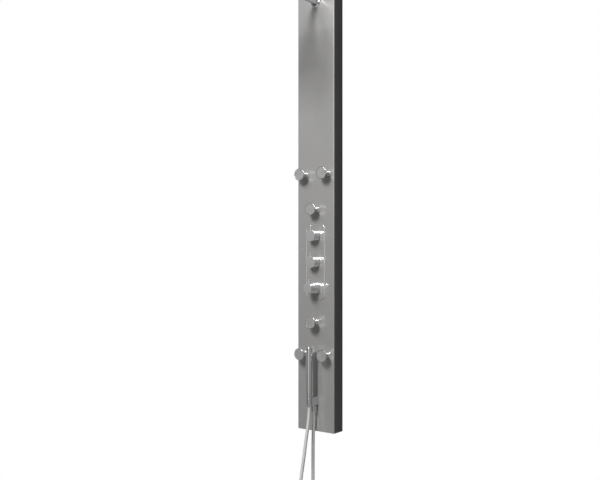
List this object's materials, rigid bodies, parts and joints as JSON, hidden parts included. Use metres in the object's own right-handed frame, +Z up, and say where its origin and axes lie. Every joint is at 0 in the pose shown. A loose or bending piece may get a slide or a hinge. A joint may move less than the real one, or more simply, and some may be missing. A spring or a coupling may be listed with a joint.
{
  "type": "wall shower column",
  "caption": "Tall flat steel shower column for a wall, with an overhead rain shower on an arm, swivelling body jets, lever valves and a stick hand shower on a hose.",
  "frame": {"origin": "centre of the upper wall plate's rear face, on the wall", "axes": "+X to the right as seen from the front, +Y into the wall, +Z up along the column"},
  "size_m": [0.2, 0.512, 1.9465],
  "materials": {
    "satin": "satin polished steel sheet, soft mirror",
    "chrome": "polished chrome plate",
    "spray_face": "grey spray plates with soft nozzles",
    "braid": "smooth silver hose cover",
    "zinc": "dull zinc-plated steel",
    "brass": "raw cast and turned brass",
    "copper": "drawn copper tube, slightly dulled",
    "nylon": "natural acetal seat rings"
  },
  "bodies": {
    "column": {"panel_shell": "satin", "panel_crossbar": "zinc", "wall_plate": "zinc", "lower_bracket": "zinc", "valve_cover": "satin", "mixer_block": "brass", "arm_socket": "brass", "arm_rose": "chrome", "shower_arm": "chrome", "holder": "chrome", "outlet_nut": "chrome", "hose": "braid", "upper_jet_pipe": "copper", "lower_jet_pipe": "copper", "riser_pipe": "copper", "hose_feed_pipe": "copper", "hot_inlet": "brass", "cold_inlet": "brass", "cartridge_upper": "brass", "cartridge_middle": "brass", "cartridge_lower": "brass", "jet_stem_upper_left": "chrome", "jet_stem_upper_right": "chrome", "jet_stem_upper_centre": "chrome", "jet_stem_lower_centre": "chrome", "jet_stem_lower_left": "chrome", "jet_stem_lower_right": "chrome"},
    "rain_gimbal": {"rain_seat": "nylon"},
    "rain_shower": {"rain_head": "chrome", "rain_face": "spray_face"},
    "hand_shower": {"hand_shower": "chrome", "hand_shower_insert": "spray_face", "hose_cone": "chrome"},
    "valve_upper": {"spindle_upper": "brass", "knob_upper": "chrome", "lever_upper": "chrome"},
    "valve_middle": {"spindle_middle": "brass", "knob_middle": "chrome", "lever_middle": "chrome"},
    "valve_lower": {"spindle_lower": "brass", "knob_lower": "chrome", "lever_lower": "chrome"},
    "jet_pivot_upper_left": {"jet_seat_upper_left": "nylon"},
    "jet_upper_left": {"jet_head_upper_left": "chrome", "jet_face_upper_left": "spray_face"},
    "jet_pivot_upper_right": {"jet_seat_upper_right": "nylon"},
    "jet_upper_right": {"jet_head_upper_right": "chrome", "jet_face_upper_right": "spray_face"},
    "jet_pivot_upper_centre": {"jet_seat_upper_centre": "nylon"},
    "jet_upper_centre": {"jet_head_upper_centre": "chrome", "jet_face_upper_centre": "spray_face"},
    "jet_pivot_lower_centre": {"jet_seat_lower_centre": "nylon"},
    "jet_lower_centre": {"jet_head_lower_centre": "chrome", "jet_face_lower_centre": "spray_face"},
    "jet_pivot_lower_left": {"jet_seat_lower_left": "nylon"},
    "jet_lower_left": {"jet_head_lower_left": "chrome", "jet_face_lower_left": "spray_face"},
    "jet_pivot_lower_right": {"jet_seat_lower_right": "nylon"},
    "jet_lower_right": {"jet_head_lower_right": "chrome", "jet_face_lower_right": "spray_face"}
  },
  "joints": [
    {"name": "upper_valve_turn", "type": "hinge", "parent": "column", "child": "valve_upper", "pos_m": [0, -0.072, -0.799], "axis": [0, -1, 0], "range_deg": [0, 90]},
    {"name": "middle_valve_turn", "type": "hinge", "parent": "column", "child": "valve_middle", "pos_m": [0, -0.072, -0.888], "axis": [0, -1, 0], "range_deg": [0, 90]},
    {"name": "lower_valve_turn", "type": "hinge", "parent": "column", "child": "valve_lower", "pos_m": [0, -0.072, -0.976], "axis": [0, -1, 0], "range_deg": [-90, 90]},
    {"name": "jet_upper_left_turn", "type": "hinge", "parent": "column", "child": "jet_pivot_upper_left", "pos_m": [-0.046, -0.072, -0.591], "axis": [0, 0, 1], "range_deg": [-12, 12]},
    {"name": "jet_upper_left_tilt", "type": "hinge", "parent": "jet_pivot_upper_left", "child": "jet_upper_left", "pos_m": [-0.046, -0.072, -0.591], "axis": [1, 0, 0], "range_deg": [-12, 12]},
    {"name": "jet_upper_right_turn", "type": "hinge", "parent": "column", "child": "jet_pivot_upper_right", "pos_m": [0.046, -0.072, -0.591], "axis": [0, 0, 1], "range_deg": [-12, 12]},
    {"name": "jet_upper_right_tilt", "type": "hinge", "parent": "jet_pivot_upper_right", "child": "jet_upper_right", "pos_m": [0.046, -0.072, -0.591], "axis": [1, 0, 0], "range_deg": [-12, 12]},
    {"name": "jet_upper_centre_turn", "type": "hinge", "parent": "column", "child": "jet_pivot_upper_centre", "pos_m": [0, -0.072, -0.71], "axis": [0, 0, 1], "range_deg": [-12, 12]},
    {"name": "jet_upper_centre_tilt", "type": "hinge", "parent": "jet_pivot_upper_centre", "child": "jet_upper_centre", "pos_m": [0, -0.072, -0.71], "axis": [1, 0, 0], "range_deg": [-12, 12]},
    {"name": "jet_lower_centre_turn", "type": "hinge", "parent": "column", "child": "jet_pivot_lower_centre", "pos_m": [0, -0.072, -1.091], "axis": [0, 0, 1], "range_deg": [-12, 12]},
    {"name": "jet_lower_centre_tilt", "type": "hinge", "parent": "jet_pivot_lower_centre", "child": "jet_lower_centre", "pos_m": [0, -0.072, -1.091], "axis": [1, 0, 0], "range_deg": [-12, 12]},
    {"name": "jet_lower_left_turn", "type": "hinge", "parent": "column", "child": "jet_pivot_lower_left", "pos_m": [-0.046, -0.072, -1.2], "axis": [0, 0, 1], "range_deg": [-12, 12]},
    {"name": "jet_lower_left_tilt", "type": "hinge", "parent": "jet_pivot_lower_left", "child": "jet_lower_left", "pos_m": [-0.046, -0.072, -1.2], "axis": [1, 0, 0], "range_deg": [-12, 12]},
    {"name": "jet_lower_right_turn", "type": "hinge", "parent": "column", "child": "jet_pivot_lower_right", "pos_m": [0.046, -0.072, -1.2], "axis": [0, 0, 1], "range_deg": [-12, 12]},
    {"name": "jet_lower_right_tilt", "type": "hinge", "parent": "jet_pivot_lower_right", "child": "jet_lower_right", "pos_m": [0.046, -0.072, -1.2], "axis": [1, 0, 0], "range_deg": [-12, 12]},
    {"name": "rain_shower_nod", "type": "hinge", "parent": "column", "child": "rain_gimbal", "pos_m": [0, -0.412, -0.038], "axis": [1, 0, 0], "range_deg": [-12, 12]},
    {"name": "rain_shower_roll", "type": "hinge", "parent": "rain_gimbal", "child": "rain_shower", "pos_m": [0, -0.412, -0.038], "axis": [0, 1, 0], "range_deg": [-12, 12]},
    {"name": "hand_shower_lift", "type": "slide", "parent": "column", "child": "hand_shower", "axis": [0, 0, 1], "range_m": [0, 0.045]}
  ]
}
